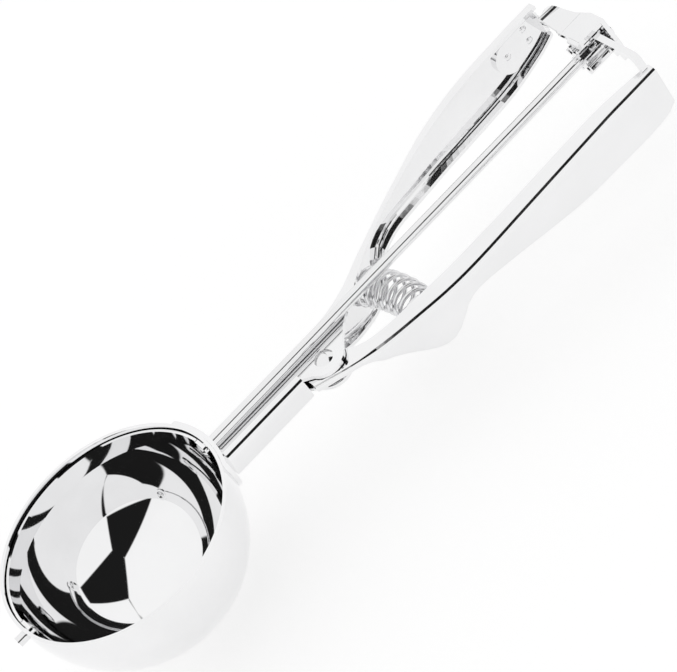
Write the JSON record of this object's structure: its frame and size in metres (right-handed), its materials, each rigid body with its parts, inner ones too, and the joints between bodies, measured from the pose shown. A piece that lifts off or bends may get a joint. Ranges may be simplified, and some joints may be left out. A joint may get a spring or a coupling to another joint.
{
  "type": "lever ice cream scoop",
  "caption": "Ice cream scoop with a half-ball bowl, and a thin blade that sweeps round inside it when the spring-loaded squeeze handle turns a rod through a rack and pinion.",
  "frame": {"origin": "centre of the bowl's sphere, on the centre line of the drive rod", "axes": "+X along the rod from the bowl to the handles' ends, +Z square to the bowl's rim, the way the bowl opens, +Y to the fixed handle's side"},
  "size_m": [0.2376, 0.072, 0.0452],
  "materials": {
    "polished_steel": "mirror polished",
    "rivet_steel": "polished",
    "spring_steel": "drawn wire"
  },
  "bodies": {
    "frame": {"bowl": "polished_steel", "bowl_collar": "polished_steel", "fixed_handle": "polished_steel", "rear_bracket": "polished_steel", "bracket_rivets": "rivet_steel", "pivot_rivet": "rivet_steel", "return_spring": "spring_steel"},
    "lever": {"squeeze_handle": "polished_steel", "rack": "polished_steel"},
    "sweeper": {"drive_rod": "polished_steel", "pinion": "polished_steel", "sweeper_blade": "polished_steel", "nose_pin": "polished_steel"}
  },
  "joints": [
    {"name": "squeeze", "type": "hinge", "parent": "frame", "child": "lever", "pos_m": [0.0745, -0.0066, -0.0054], "axis": [0, 0, 1], "range_deg": [0, 6.55], "stiffness_Nm_per_rad": 0.8, "springref_deg": -5.73, "deforming": ["return_spring"]},
    {"name": "sweep", "type": "hinge", "parent": "frame", "child": "sweeper", "pos_m": [0, 0, 0], "axis": [-1, 0, 0], "range_deg": [0, 175]}
  ],
  "couplings": [
    {"joint": "sweep", "follows": "squeeze", "ratio": 26.727}
  ]
}
